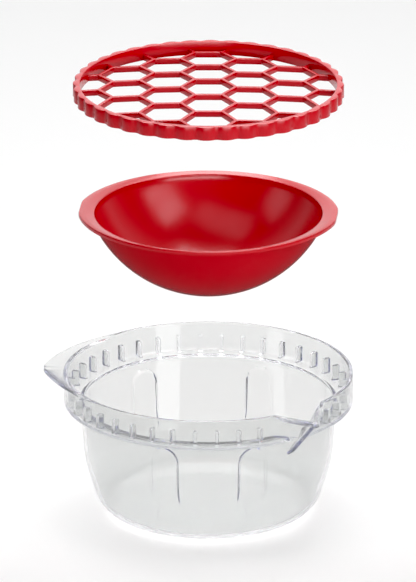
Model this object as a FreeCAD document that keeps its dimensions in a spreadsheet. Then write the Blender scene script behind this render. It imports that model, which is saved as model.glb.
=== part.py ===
import FreeCAD, Part
import math
import os

import Sketcher

# Egg cooker for a microwave oven: a clear jug, a round-bottomed bowl that hangs in it by its ears, and a honeycomb
# grid that lies on the bowl. The pieces stand apart, lifted straight up, and come down onto their seats.
# Frame: millimetres, +Z up, origin at the centre of the jug's flat base, -Y towards the front.

doc = FreeCAD.newDocument("egg_cooker")

SIZES = [
    # Jug: body, ledge and rim band
    ("jug_height", 75.0),
    ("jug_wall", 2.0),
    ("band_radius", 75.0),
    ("band_height", 16.5),
    ("shoulder_radius", 66.5),
    ("waist_radius", 64.2),
    ("waist_height", 27.0),
    ("foot_radius", 55.5),
    ("foot_round", 15.0),
    ("waist_round", 60.0),
    ("band_round", 1.5),
    ("rim_round", 0.8),
    # Jug: ribs inside the band, which stand in the grid's valleys
    ("rib_pitch", 9.0),
    ("rib_count", 37),
    ("rib_width", 1.8),
    ("rib_height", 8.0),
    ("rib_gap", 1.2),
    # Jug: V spout
    ("spout_angle", -50.5),
    ("spout_half_angle", 13.2),
    ("spout_stand", 14.4),
    ("spout_dip", 4.1),
    ("spout_depth", 29.5),
    # Jug: pointed lip
    ("lip_angle", 175.5),
    ("lip_stand", 11.5),
    ("lip_front_angle", 36.0),
    ("lip_front_bow", 110.0),
    ("lip_back_angle", 50.0),
    ("lip_back_bow", 85.0),
    ("lip_tip_round", 2.5),
    ("lip_thickness", 2.0),
    # Jug: arch-topped flutes
    ("flute_width", 15.0),
    ("flute_depth", 1.0),
    ("flute_drop", 3.5),
    ("flute_run", 44.0),
    # Bowl
    ("bowl_gap", 3.7),
    ("bowl_wall", 2.0),
    ("bowl_depth", 43.0),
    ("flange_thickness", 2.5),
    ("flange_margin", 2.4),
    ("flange_round", 0.6),
    ("ear_room", 6.4),
    ("ear_half_width", 9.0),
    ("bowl_turn", -5.0),
    # Grid
    ("grid_gap", 3.3),
    ("ring_height", 7.2),
    ("ring_width", 3.6),
    ("scallop_depth", 1.4),
    ("valley_round", 3.2),
    ("mesh_height", 3.1),
    ("mesh_rise", 2.5),
    ("bar_width", 1.8),
    ("cell_side", 14.1),
    # Stacking: the room left at each seat, and how far each piece stands lifted
    ("seat_gap", 0.2),
    ("bowl_lift", 100.0),
    ("grid_lift", 62.0),
]

sheet = doc.addObject("Spreadsheet::Sheet", "Sizes")
for row, (alias, value) in enumerate(SIZES, start=1):
    sheet.set("A%d" % row, alias)
    sheet.set("B%d" % row, str(value))
    sheet.setAlias("B%d" % row, alias)
doc.recompute()


def size(alias):
    return float(sheet.get(alias))


# Sizes that several pieces share, as expressions on the sheet
LEDGE_UNDERSIDE = "(Sizes.jug_height - Sizes.band_height)"
LEDGE_TOP = "(Sizes.jug_height - Sizes.band_height + Sizes.jug_wall)"
BAND_BORE = "(Sizes.band_radius - Sizes.jug_wall)"
GRID_CREST = "(Sizes.band_radius - Sizes.jug_wall - Sizes.grid_gap)"
GRID_VALLEY = "(Sizes.band_radius - Sizes.jug_wall - Sizes.grid_gap - Sizes.scallop_depth)"
RING_BORE = "(Sizes.band_radius - Sizes.jug_wall - Sizes.grid_gap - Sizes.ring_width)"
RING_MIDDLE = "(Sizes.band_radius - Sizes.jug_wall - Sizes.grid_gap - Sizes.ring_width / 2)"
RING_CORE = "(Sizes.band_radius - Sizes.jug_wall - Sizes.grid_gap - Sizes.ring_width * 3 / 4)"
BOWL_OUTSIDE = "(Sizes.shoulder_radius - Sizes.jug_wall - Sizes.bowl_gap)"
BOWL_OPENING = "(Sizes.shoulder_radius - Sizes.jug_wall - Sizes.bowl_gap - Sizes.bowl_wall)"
EAR_REACH = "(Sizes.band_radius - Sizes.jug_wall - Sizes.ear_room)"

HORIZONTAL_AXIS = -1
VERTICAL_AXIS = -2
START = 1
END = 2
CENTRE = 3


def origin_part(body, role):
    return next(part for part in body.Origin.OriginFeatures if part.Role == role)


def new_sketch(body, name, role):
    sketch = body.newObject("Sketcher::SketchObject", name)
    sketch.AttachmentSupport = [(origin_part(body, role), "")]
    sketch.MapMode = "FlatFace"
    return sketch


def raise_sketch(sketch, height):
    sketch.setExpression(".AttachmentOffset.Base.z", height)


def bind(sketch, constraint, expression):
    index = sketch.addConstraint(constraint)
    sketch.setExpression("Constraints[%d]" % index, expression)


def place_height(sketch, element, end, y):
    """Set how far up the sketch a point lies; the point is drawn near its place."""
    drawn = sketch.getPoint(element, end).y
    bind(sketch, Sketcher.Constraint("DistanceY", HORIZONTAL_AXIS, START, element, end, drawn), y)


def place_point(sketch, element, end, x, y):
    """Tie a point, drawn near its place, to the sketch's origin; None keeps it on that axis."""
    if x is None:
        sketch.addConstraint(Sketcher.Constraint("PointOnObject", element, end, VERTICAL_AXIS))
    else:
        drawn = sketch.getPoint(element, end).x
        bind(sketch, Sketcher.Constraint("DistanceX", HORIZONTAL_AXIS, START, element, end, drawn), x)
    if y is None:
        sketch.addConstraint(Sketcher.Constraint("PointOnObject", element, end, HORIZONTAL_AXIS))
    else:
        place_height(sketch, element, end, y)


def polygon(sketch, corners):
    """A closed outline of straight lines through corners given as expressions."""
    count = len(corners)
    step = 2 * math.pi / count
    start = [FreeCAD.Vector(50 + 40 * math.cos(step * k), 50 + 40 * math.sin(step * k), 0) for k in range(count)]
    lines = [sketch.addGeometry(Part.LineSegment(start[k], start[(k + 1) % count])) for k in range(count)]
    for k in range(count):
        sketch.addConstraint(Sketcher.Constraint("Coincident", lines[k], END, lines[(k + 1) % count], START))
    for line, (x, y) in zip(lines, corners):
        place_point(sketch, line, START, x, y)


def circle(sketch, radius):
    """A circle about the sketch's origin."""
    ring = sketch.addGeometry(Part.Circle(FreeCAD.Vector(0, 0, 0), FreeCAD.Vector(0, 0, 1), 50))
    sketch.addConstraint(Sketcher.Constraint("Coincident", ring, CENTRE, HORIZONTAL_AXIS, START))
    bind(sketch, Sketcher.Constraint("Radius", ring, 50), radius)


def revolve(body, sketch, name):
    turned = body.newObject("PartDesign::Revolution", name)
    turned.Profile = sketch
    turned.ReferenceAxis = (sketch, ["V_Axis"])
    turned.Angle = 360
    doc.recompute()
    return turned


def pad(body, sketch, name, length):
    raised = body.newObject("PartDesign::Pad", name)
    raised.Profile = sketch
    raised.setExpression("Length", length)
    doc.recompute()
    return raised


def polar_pattern(body, feature, name, count, angle):
    """Copies of a feature about the vertical axis, spread over an angle."""
    pattern = body.newObject("PartDesign::PolarPattern", name)
    pattern.Originals = [feature]
    pattern.Axis = (origin_part(body, "Z_Axis"), [""])
    pattern.setExpression("Angle", angle)
    pattern.setExpression("Occurrences", count)
    body.Tip = pattern
    doc.recompute()
    return pattern


def edge_names(shape, wanted):
    edges = enumerate(shape.Edges, start=1)
    return ["Edge%d" % k for k, edge in edges if not edge.Degenerated and wanted(edge)]


def is_circle(edge, radius, height):
    """True for a whole circle of this radius at this height."""
    if not isinstance(edge.Curve, Part.Circle) or len(edge.Vertexes) != 1:
        return False
    return abs(edge.Curve.Radius - radius) < 0.01 and abs(edge.Curve.Center.z - height) < 0.01


def fillet(body, base, name, wanted, radius):
    names = edge_names(base.Shape, wanted)
    if not names:
        raise RuntimeError("no edge to round for " + name)
    rounded = body.newObject("PartDesign::Fillet", name)
    rounded.Base = (base, names)
    rounded.setExpression("Radius", radius)
    doc.recompute()
    return rounded


def hollow_out(body, base, name, wall):
    """Leave a wall inside a solid, open at its flat top."""
    hollow = body.newObject("PartDesign::Thickness", name)
    faces = base.Shape.Faces
    top = max(range(len(faces)), key=lambda k: faces[k].CenterOfMass.z)
    hollow.Base = (base, ["Face%d" % (top + 1)])
    hollow.setExpression("Value", wall)
    hollow.Reversed = True
    doc.recompute()
    return hollow


def wedge(points, faces):
    """A solid with flat faces, each named by its corner points."""
    sides = []
    for names in faces:
        corners = [points[name] for name in names]
        sides.append(Part.Face(Part.makePolygon(corners + corners[:1])))
    solid = Part.Solid(Part.Shell(sides))
    if solid.Volume < 0:
        solid.reverse()
    return solid


def add_feature(name, shape, turn):
    """A solid made by its corners, turned about the vertical axis."""
    feature = doc.addObject("Part::Feature", name)
    feature.Shape = shape
    feature.Placement = FreeCAD.Placement(FreeCAD.Vector(0, 0, 0), FreeCAD.Rotation(FreeCAD.Vector(0, 0, 1), turn))
    return feature


def combine(kind, name, base, tool):
    joined = doc.addObject("Part::" + kind, name)
    joined.Base = base
    joined.Tool = tool
    doc.recompute()
    return joined


def jug_shell():
    """The turned shell with its ledge and rim band, the ribs inside the band and the pointed lip."""
    body = doc.addObject("PartDesign::Body", "jug_shell")
    profile = new_sketch(body, "jug_profile", "XZ_Plane")
    polygon(profile, [
        (None, None),
        ("Sizes.foot_radius", None),
        ("Sizes.waist_radius", "Sizes.waist_height"),
        ("Sizes.shoulder_radius", LEDGE_UNDERSIDE),
        ("Sizes.band_radius", LEDGE_UNDERSIDE),
        ("Sizes.band_radius", "Sizes.jug_height"),
        (None, "Sizes.jug_height"),
    ])
    solid = revolve(body, profile, "jug_solid")
    ledge = size("jug_height") - size("band_height")
    foot = fillet(body, solid, "foot_rounding",
                  lambda edge: is_circle(edge, size("foot_radius"), 0), "Sizes.foot_round")
    waist = fillet(body, foot, "waist_rounding",
                   lambda edge: is_circle(edge, size("waist_radius"), size("waist_height")), "Sizes.waist_round")
    hollow = hollow_out(body, waist, "jug_hollow", "Sizes.jug_wall")
    corner = fillet(body, hollow, "band_rounding",
                    lambda edge: is_circle(edge, size("band_radius"), ledge), "Sizes.band_round")
    bore = size("band_radius") - size("jug_wall")
    fillet(body, corner, "rim_rounding",
           lambda edge: (is_circle(edge, size("band_radius"), size("jug_height"))
                         or is_circle(edge, bore, size("jug_height"))), "Sizes.rim_round")

    rib = new_sketch(body, "rib_outline", "XY_Plane")
    raise_sketch(rib, LEDGE_TOP + " - Sizes.jug_wall / 2")
    rib.setExpression(".AttachmentOffset.Rotation.Angle", "Sizes.spout_angle + Sizes.rib_pitch * 2")
    inner = GRID_VALLEY + " + Sizes.rib_gap"
    outer = BAND_BORE + " + Sizes.jug_wall / 2"
    polygon(rib, [
        (inner, "-Sizes.rib_width / 2"),
        (outer, "-Sizes.rib_width / 2"),
        (outer, "Sizes.rib_width / 2"),
        (inner, "Sizes.rib_width / 2"),
    ])
    first = pad(body, rib, "first_rib", "Sizes.rib_height + Sizes.jug_wall / 2")
    polar_pattern(body, first, "ribs", "Sizes.rib_count", "Sizes.rib_pitch * (Sizes.rib_count - 1)")

    lip = new_sketch(body, "lip_outline", "XY_Plane")
    raise_sketch(lip, "Sizes.jug_height - Sizes.lip_thickness")
    lip.setExpression(".AttachmentOffset.Rotation.Angle", "Sizes.lip_angle")
    lip_sketch(lip)
    plate = pad(body, lip, "lip_plate", "Sizes.lip_thickness")
    fillet(body, plate, "lip_tip_rounding", is_lip_tip, "Sizes.lip_tip_round")
    return body


def lip_sketch(sketch):
    """Two bowed flanks from the tip to the band, closed by an arc in the middle of the band's wall."""
    tip = FreeCAD.Vector(size("band_radius") + size("lip_stand"), 0, 0)
    root = size("band_radius") - size("jug_wall") / 2
    root_size = "(Sizes.band_radius - Sizes.jug_wall / 2)"
    front = math.radians(size("lip_front_angle"))
    back = -math.radians(size("lip_back_angle"))
    root_circle = Part.Circle(FreeCAD.Vector(0, 0, 0), FreeCAD.Vector(0, 0, 1), root)
    heel = sketch.addGeometry(Part.ArcOfCircle(root_circle, back, front))
    sketch.addConstraint(Sketcher.Constraint("Coincident", heel, CENTRE, HORIZONTAL_AXIS, START))
    bind(sketch, Sketcher.Constraint("Radius", heel, root), root_size)
    place_height(sketch, heel, START, "-%s * sin(Sizes.lip_back_angle * 1deg)" % root_size)
    place_height(sketch, heel, END, "%s * sin(Sizes.lip_front_angle * 1deg)" % root_size)
    flanks = []
    for turn, heel_end, bow in ((front, END, "lip_front_bow"), (back, START, "lip_back_bow")):
        foot = FreeCAD.Vector(root * math.cos(turn), root * math.sin(turn), 0)
        chord = foot - tip
        sag = size(bow) - math.sqrt(size(bow) ** 2 - (chord.Length / 2) ** 2)
        outward = FreeCAD.Vector(abs(chord.y), math.copysign(chord.x, turn), 0).normalize()
        flank = sketch.addGeometry(Part.Arc(tip, (tip + foot) / 2 + outward * sag, foot))
        flank_ends = sorted((START, END), key=lambda end: (sketch.getPoint(flank, end) - tip).Length)
        sketch.addConstraint(Sketcher.Constraint("Coincident", flank, flank_ends[1], heel, heel_end))
        bind(sketch, Sketcher.Constraint("Radius", flank, size(bow)), "Sizes." + bow)
        flanks.append((flank, flank_ends[0]))
    (front_flank, front_tip), (back_flank, back_tip) = flanks
    sketch.addConstraint(Sketcher.Constraint("Coincident", front_flank, front_tip, back_flank, back_tip))
    place_point(sketch, front_flank, front_tip, "Sizes.band_radius + Sizes.lip_stand", None)


def is_lip_tip(edge):
    """True for the upright edge at the point of the lip."""
    if not isinstance(edge.Curve, Part.Line):
        return False
    middle = edge.CenterOfMass
    return abs(math.hypot(middle.x, middle.y) - size("band_radius") - size("lip_stand")) < 0.01


def spout_wedges():
    """The spout's outside, and the V channel inside it that opens the wall, the ledge and the rim."""
    top = size("jug_height")
    half = math.radians(size("spout_half_angle"))
    slope = (size("shoulder_radius") - size("waist_radius")) / (top - size("band_height") - size("waist_height"))
    foot_height = top - size("spout_depth")
    foot_radius = size("waist_radius") + slope * (foot_height - size("waist_height"))
    outside = {
        "left": FreeCAD.Vector(size("band_radius") * math.cos(half), size("band_radius") * math.sin(half), top),
        "right": FreeCAD.Vector(size("band_radius") * math.cos(half), -size("band_radius") * math.sin(half), top),
        "tip": FreeCAD.Vector(size("band_radius") + size("spout_stand"), 0, top - size("spout_dip")),
        "foot": FreeCAD.Vector(foot_radius, 0, foot_height),
    }
    shell = wedge(outside, [
        ("left", "tip", "foot"),
        ("tip", "right", "foot"),
        ("right", "left", "foot"),
        ("left", "right", "tip"),
    ])
    facet = (outside["left"] - outside["foot"]).cross(outside["tip"] - outside["foot"]).normalize()
    inset = FreeCAD.Vector(size("jug_wall") / abs(facet.x), 0, 0)
    inward = FreeCAD.Vector(foot_radius / 3, 0, 0)
    above_rim = 1.4
    foot = outside["foot"] - inset
    channel = {"foot": foot, "foot_inner": foot - inward}
    for name in ("left", "right", "tip"):
        channel[name] = foot + (outside[name] - outside["foot"]) * above_rim
    for name in ("left", "right"):
        channel[name + "_inner"] = channel[name] - inward
    void = wedge(channel, [
        ("left", "tip", "foot"),
        ("tip", "right", "foot"),
        ("left", "right", "tip"),
        ("left", "left_inner", "right_inner", "right"),
        ("left", "foot", "foot_inner", "left_inner"),
        ("right", "right_inner", "foot_inner", "foot"),
        ("left_inner", "foot_inner", "right_inner"),
    ])
    return shell, void


def flute_cutter(number, angle):
    """An arch-topped slot through the wall, less the cone that is the flute's floor."""
    block = doc.addObject("Part::Box", "flute_block_%d" % number)
    block.setExpression("Length", "Sizes.band_radius")
    block.setExpression("Width", "Sizes.flute_width")
    block.setExpression("Height", "Sizes.flute_run - Sizes.flute_width / 2")
    block.setExpression(".Placement.Base.y", "-Sizes.flute_width / 2")
    block.setExpression(".Placement.Base.z", LEDGE_UNDERSIDE + " - Sizes.flute_drop - Sizes.flute_run")
    arch = doc.addObject("Part::Cylinder", "flute_arch_%d" % number)
    arch.setExpression("Radius", "Sizes.flute_width / 2")
    arch.setExpression("Height", "Sizes.band_radius")
    arch.Placement = FreeCAD.Placement(FreeCAD.Vector(0, 0, 0), FreeCAD.Rotation(FreeCAD.Vector(0, 1, 0), 90))
    arch.setExpression(".Placement.Base.z", LEDGE_UNDERSIDE + " - Sizes.flute_drop - Sizes.flute_width / 2")
    slot = combine("Fuse", "flute_slot_%d" % number, block, arch)
    slot.Placement = FreeCAD.Placement(FreeCAD.Vector(0, 0, 0), FreeCAD.Rotation(FreeCAD.Vector(0, 0, 1), angle))
    floor = doc.addObject("Part::Cone", "flute_floor_%d" % number)
    slope = "(Sizes.shoulder_radius - Sizes.waist_radius) / (%s - Sizes.waist_height)" % LEDGE_UNDERSIDE
    floor.setExpression("Height", LEDGE_UNDERSIDE)
    floor.setExpression("Radius1", "Sizes.waist_radius - Sizes.flute_depth - Sizes.waist_height * " + slope)
    floor.setExpression("Radius2", "Sizes.shoulder_radius - Sizes.flute_depth")
    return combine("Cut", "flute_%d" % number, slot, floor)


def clear_jug():
    """The whole jug: its shell with the spout let in and the flutes cut into the outside of its wall."""
    shell, void = spout_wedges()
    band_room = doc.addObject("Part::Cylinder", "band_room")
    band_room.setExpression("Radius", BAND_BORE + " + Sizes.jug_wall / 4")
    band_room.setExpression("Height", "Sizes.band_height")
    band_room.setExpression(".Placement.Base.z", LEDGE_TOP)
    spout = combine("Cut", "spout_outside", add_feature("spout_shell", shell, size("spout_angle")), band_room)
    jug = combine("Fuse", "jug_with_spout", jug_shell(), spout)
    jug = combine("Cut", "jug_with_channel", jug, add_feature("spout_channel", void, size("spout_angle")))
    flute_angles = (-111, -69, 65, 122)
    for number, angle in enumerate(flute_angles, start=1):
        jug = combine("Cut", "jug_with_flute_%d" % number, jug, flute_cutter(number, angle))
    jug.Label = "clear_jug"
    return jug


def inner_bowl():
    """The round-bottomed bowl and its flange. The flange's underside, which seats on the ledge, is its zero height."""
    body = doc.addObject("PartDesign::Body", "bowl_body")
    profile = new_sketch(body, "bowl_profile", "XZ_Plane")
    bowl_sketch(profile)
    revolve(body, profile, "bowl_wall_turned")

    flange = new_sketch(body, "flange_outline", "XY_Plane")
    flange_sketch(flange)
    circle(flange, BOWL_OPENING + " + Sizes.bowl_wall / 2")
    plate = pad(body, flange, "flange", "Sizes.flange_thickness")
    opening = size("shoulder_radius") - size("jug_wall") - size("bowl_gap") - size("bowl_wall")
    fillet(body, plate, "opening_rounding",
           lambda edge: is_circle(edge, opening, size("flange_thickness")), "Sizes.flange_round")
    body.Label = "inner_bowl"
    body.Placement.Rotation = FreeCAD.Rotation(FreeCAD.Vector(0, 0, 1), size("bowl_turn"))
    body.setExpression(".Placement.Base.z", LEDGE_TOP + " + Sizes.seat_gap + Sizes.bowl_lift")
    return body


def bowl_sketch(sketch):
    """Half the section of the bowl: two arcs about one centre, joined by a short upright rim."""
    rim = size("shoulder_radius") - size("jug_wall") - size("bowl_gap")
    wall = size("bowl_wall")
    top = size("flange_thickness")
    depth = size("bowl_depth") - top
    ball = (rim ** 2 + depth ** 2) / (2 * depth)
    centre = FreeCAD.Vector(0, ball - depth, 0)
    normal = FreeCAD.Vector(0, 0, 1)
    bend = centre.y - math.sqrt((ball - wall) ** 2 - (rim - wall) ** 2)
    outer_circle = Part.Circle(centre, normal, ball)
    inner_circle = Part.Circle(centre, normal, ball - wall)
    low = -math.pi / 2
    outer = sketch.addGeometry(Part.ArcOfCircle(outer_circle, low, -math.atan2(centre.y, rim)))
    inner = sketch.addGeometry(Part.ArcOfCircle(inner_circle, low, -math.atan2(centre.y - bend, rim - wall)))
    corners = [FreeCAD.Vector(rim, 0, 0), FreeCAD.Vector(rim, top, 0),
               FreeCAD.Vector(rim - wall, top, 0), FreeCAD.Vector(rim - wall, bend, 0)]
    rise, across, drop = [sketch.addGeometry(Part.LineSegment(corners[k], corners[k + 1])) for k in range(3)]
    axis = sketch.addGeometry(Part.LineSegment(FreeCAD.Vector(0, wall - depth, 0), FreeCAD.Vector(0, -depth, 0)))
    for first, first_end, second, second_end in ((outer, END, rise, START), (rise, END, across, START),
                                                 (across, END, drop, START), (drop, END, inner, END),
                                                 (inner, START, axis, START), (axis, END, outer, START)):
        sketch.addConstraint(Sketcher.Constraint("Coincident", first, first_end, second, second_end))
    sketch.addConstraint(Sketcher.Constraint("PointOnObject", outer, CENTRE, VERTICAL_AXIS))
    sketch.addConstraint(Sketcher.Constraint("Coincident", inner, CENTRE, outer, CENTRE))
    sketch.addConstraint(Sketcher.Constraint("Vertical", drop))
    place_point(sketch, rise, START, BOWL_OUTSIDE, None)
    place_point(sketch, across, START, BOWL_OUTSIDE, "Sizes.flange_thickness")
    place_point(sketch, across, END, BOWL_OPENING, "Sizes.flange_thickness")
    place_point(sketch, axis, START, None, "Sizes.flange_thickness - Sizes.bowl_depth + Sizes.bowl_wall")
    place_point(sketch, axis, END, None, "Sizes.flange_thickness - Sizes.bowl_depth")


def flange_sketch(sketch):
    """An eye-shaped outline: two long arcs, cut off straight at both ends for the blunt ears."""
    reach = size("band_radius") - size("jug_wall") - size("ear_room")
    half = size("ear_half_width")
    side = size("shoulder_radius") - size("jug_wall") - size("bowl_gap") + size("flange_margin")
    for sign in (1, -1):
        low = FreeCAD.Vector(sign * reach, -sign * half, 0)
        high = FreeCAD.Vector(sign * reach, sign * half, 0)
        far = FreeCAD.Vector(-sign * reach, sign * half, 0)
        end = sketch.addGeometry(Part.LineSegment(low, high))
        place_point(sketch, end, START, "%d * %s" % (sign, EAR_REACH), "%d * Sizes.ear_half_width" % -sign)
        place_point(sketch, end, END, "%d * %s" % (sign, EAR_REACH), "%d * Sizes.ear_half_width" % sign)
        arc = sketch.addGeometry(Part.Arc(high, FreeCAD.Vector(0, sign * side, 0), far))
        crown = sketch.addGeometry(Part.Point(FreeCAD.Vector(0, sign * side, 0)), True)
        place_point(sketch, crown, START, None, "%d * (%s + Sizes.flange_margin)" % (sign, BOWL_OUTSIDE))
        sketch.addConstraint(Sketcher.Constraint("PointOnObject", crown, START, arc))
        sketch.addConstraint(Sketcher.Constraint("Coincident", end, END, arc, START))
    front_end, front_arc, rear_end, rear_arc = 0, 1, 3, 4
    sketch.addConstraint(Sketcher.Constraint("Coincident", front_arc, END, rear_end, START))
    sketch.addConstraint(Sketcher.Constraint("Coincident", rear_arc, END, front_end, START))


def mesh_sketch(sketch):
    """Half the section of the domed floor: two alike arcs, one the bar height above the other."""
    edge = size("band_radius") - size("jug_wall") - size("grid_gap") - size("ring_width") / 2
    rise = size("mesh_rise")
    thick = size("mesh_height")
    ball = (edge ** 2 + rise ** 2) / (2 * rise)
    lean = math.asin(edge / ball)
    normal = FreeCAD.Vector(0, 0, 1)
    under = Part.Circle(FreeCAD.Vector(0, rise - ball, 0), normal, ball)
    over = Part.Circle(FreeCAD.Vector(0, rise - ball + thick, 0), normal, ball)
    lower = sketch.addGeometry(Part.ArcOfCircle(under, math.pi / 2 - lean, math.pi / 2))
    upper = sketch.addGeometry(Part.ArcOfCircle(over, math.pi / 2 - lean, math.pi / 2))
    wall = sketch.addGeometry(Part.LineSegment(FreeCAD.Vector(edge, 0, 0), FreeCAD.Vector(edge, thick, 0)))
    axis = sketch.addGeometry(Part.LineSegment(FreeCAD.Vector(0, rise + thick, 0), FreeCAD.Vector(0, rise, 0)))
    for first, first_end, second, second_end in ((lower, START, wall, START), (wall, END, upper, START),
                                                 (upper, END, axis, START), (axis, END, lower, END)):
        sketch.addConstraint(Sketcher.Constraint("Coincident", first, first_end, second, second_end))
    for arc in (lower, upper):
        sketch.addConstraint(Sketcher.Constraint("PointOnObject", arc, CENTRE, VERTICAL_AXIS))
    place_point(sketch, wall, START, RING_MIDDLE, None)
    place_point(sketch, wall, END, RING_MIDDLE, "Sizes.mesh_height")
    place_point(sketch, axis, START, None, "Sizes.mesh_rise + Sizes.mesh_height")
    place_point(sketch, axis, END, None, "Sizes.mesh_rise")


def cell_column(body, plate, column, first_row, rows):
    """One column of hexagonal openings, cut through the floor and repeated along Y."""
    name = "cells_%d" % (column + 10)
    outline = new_sketch(body, name + "_outline", "XY_Plane")
    opening = "(Sizes.cell_side - Sizes.bar_width / sqrt(3))"
    corners = []
    for k in range(6):
        turn = math.radians(60 * k)
        corners.append((
            "%r * Sizes.cell_side + %.9f * %s" % (1.5 * column, math.cos(turn), opening),
            "%r * sqrt(3) * Sizes.cell_side + %.9f * %s" % (first_row, math.sin(turn), opening),
        ))
    polygon(outline, corners)
    cut = body.newObject("PartDesign::Pocket", name)
    cut.Profile = outline
    cut.Type = "ThroughAll"
    cut.Reversed = True
    doc.recompute()
    if cut.Shape.Volume >= plate.Shape.Volume:
        raise RuntimeError(name + " cuts nothing")
    repeat = body.newObject("PartDesign::LinearPattern", name + "_column")
    repeat.Originals = [cut]
    repeat.Direction = (origin_part(body, "Y_Axis"), [""])
    repeat.setExpression("Length", "%d * sqrt(3) * Sizes.cell_side" % (rows - 1))
    repeat.Occurrences = rows
    body.Tip = repeat
    doc.recompute()
    return repeat


def scallop_sketch(sketch):
    """One broad crest between two half valleys, each arc running smoothly into the next, closed inside the ring."""
    crest = size("band_radius") - size("jug_wall") - size("grid_gap")
    valley = crest - size("scallop_depth")
    core = crest - size("ring_width") * 3 / 4
    valley_round = size("valley_round")
    half = math.radians(size("rib_pitch") / 2)
    far = valley + valley_round
    crest_round = ((crest ** 2 + far ** 2 - valley_round ** 2 - 2 * crest * far * math.cos(half))
                   / (2 * (crest + valley_round - far * math.cos(half))))
    middle = FreeCAD.Vector(crest - crest_round, 0, 0)
    valleys = {}
    sides = {}
    meetings = {}
    for sign in (1, -1):
        ray = FreeCAD.Vector(math.cos(half), sign * math.sin(half), 0)
        hollow = ray * far
        meetings[sign] = middle + (hollow - middle) * (crest_round / (crest_round + valley_round))
        low = hollow + ((ray * valley + meetings[sign]) / 2 - hollow).normalize() * valley_round
        ends = (ray * valley, low, meetings[sign]) if sign > 0 else (meetings[sign], low, ray * valley)
        valleys[sign] = sketch.addGeometry(Part.Arc(*ends))
        ends = (ray * valley, ray * core) if sign > 0 else (ray * core, ray * valley)
        sides[sign] = sketch.addGeometry(Part.LineSegment(*ends))
    top = sketch.addGeometry(Part.Arc(meetings[-1], FreeCAD.Vector(crest, 0, 0), meetings[1]))
    chord = sketch.addGeometry(Part.LineSegment(
        FreeCAD.Vector(core * math.cos(half), core * math.sin(half), 0),
        FreeCAD.Vector(core * math.cos(half), -core * math.sin(half), 0)))
    for first, first_end, second, second_end in ((valleys[1], START, sides[1], START), (sides[1], END, chord, START),
                                                 (chord, END, sides[-1], START), (sides[-1], END, valleys[-1], END)):
        sketch.addConstraint(Sketcher.Constraint("Coincident", first, first_end, second, second_end))
    turn = "(Sizes.rib_pitch / 2 * 1deg)"
    place_point(sketch, sides[1], START, "%s * cos(%s)" % (GRID_VALLEY, turn), "%s * sin(%s)" % (GRID_VALLEY, turn))
    place_point(sketch, sides[1], END, "%s * cos(%s)" % (RING_CORE, turn), "%s * sin(%s)" % (RING_CORE, turn))
    place_point(sketch, sides[-1], START, "%s * cos(%s)" % (RING_CORE, turn), "-%s * sin(%s)" % (RING_CORE, turn))
    place_point(sketch, sides[-1], END, "%s * cos(%s)" % (GRID_VALLEY, turn), "-%s * sin(%s)" % (GRID_VALLEY, turn))
    for sign in (1, -1):
        sketch.addConstraint(Sketcher.Constraint("PointOnObject", valleys[sign], CENTRE, sides[sign]))
    bind(sketch, Sketcher.Constraint("Radius", valleys[1], valley_round), "Sizes.valley_round")
    crown = sketch.addGeometry(Part.Point(FreeCAD.Vector(crest, 0, 0)), True)
    place_point(sketch, crown, START, GRID_CREST, None)
    sketch.addConstraint(Sketcher.Constraint("PointOnObject", crown, START, top))
    sketch.addConstraint(Sketcher.Constraint("PointOnObject", top, CENTRE, HORIZONTAL_AXIS))
    sketch.addConstraint(Sketcher.Constraint("Tangent", top, END, valleys[1], END))
    sketch.addConstraint(Sketcher.Constraint("Tangent", top, START, valleys[-1], START))


def honeycomb_grid():
    """The domed honeycomb floor inside a scalloped ring. The ring's flat underside is its zero height."""
    body = doc.addObject("PartDesign::Body", "grid_body")
    floor_outline = new_sketch(body, "floor_profile", "XZ_Plane")
    mesh_sketch(floor_outline)
    floor = revolve(body, floor_outline, "floor")
    bore = size("band_radius") - size("jug_wall") - size("grid_gap") - size("ring_width")
    reach = bore - size("bar_width")
    side = size("cell_side")
    columns = int((reach + side / 2) // (1.5 * side))
    for column in range(-columns, columns + 1):
        nearest = max(abs(column) * 1.5 * side - side / 2, 0)
        rows_up = math.sqrt(reach ** 2 - nearest ** 2) / (math.sqrt(3) * side)
        if column % 2:
            last = int(rows_up) + 0.5
        else:
            last = float(int(rows_up + 0.5))
        floor = cell_column(body, floor, column, -last, int(2 * last) + 1)

    ring = new_sketch(body, "ring_outline", "XY_Plane")
    circle(ring, RING_MIDDLE)
    circle(ring, RING_BORE)
    pad(body, ring, "ring", "Sizes.ring_height")
    crest = new_sketch(body, "scallop_outline", "XY_Plane")
    crest.setExpression(".AttachmentOffset.Rotation.Angle", "Sizes.spout_angle + Sizes.rib_pitch / 2")
    scallop_sketch(crest)
    scallop = pad(body, crest, "scallop", "Sizes.ring_height")
    polar_pattern(body, scallop, "scallops", "floor(360 / Sizes.rib_pitch + 0.5)", "360")
    body.Label = "honeycomb_grid"
    body.setExpression(".Placement.Base.z", LEDGE_TOP + " + Sizes.flange_thickness + Sizes.bowl_lift"
                       " + Sizes.grid_lift + 2 * Sizes.seat_gap")
    return body


pieces = [clear_jug(), inner_bowl(), honeycomb_grid()]
doc.recompute()

for item in doc.Objects:
    if "Invalid" in item.State or "Error" in item.State:
        raise RuntimeError("%s failed: %s" % (item.Name, item.State))
for piece in pieces:
    if piece.Shape.isNull() or not piece.Shape.isValid() or len(piece.Shape.Solids) != 1:
        raise RuntimeError("%s is not one valid solid" % piece.Label)

os.makedirs("parts", exist_ok=True)
for piece in pieces:
    piece.Shape.exportStep("parts/%s.step" % piece.Label)
    box = piece.Shape.BoundBox
    print("%s: %.1f cm3, Z %.1f to %.1f" % (piece.Label, piece.Shape.Volume / 1000, box.ZMin, box.ZMax))
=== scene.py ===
import math

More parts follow.
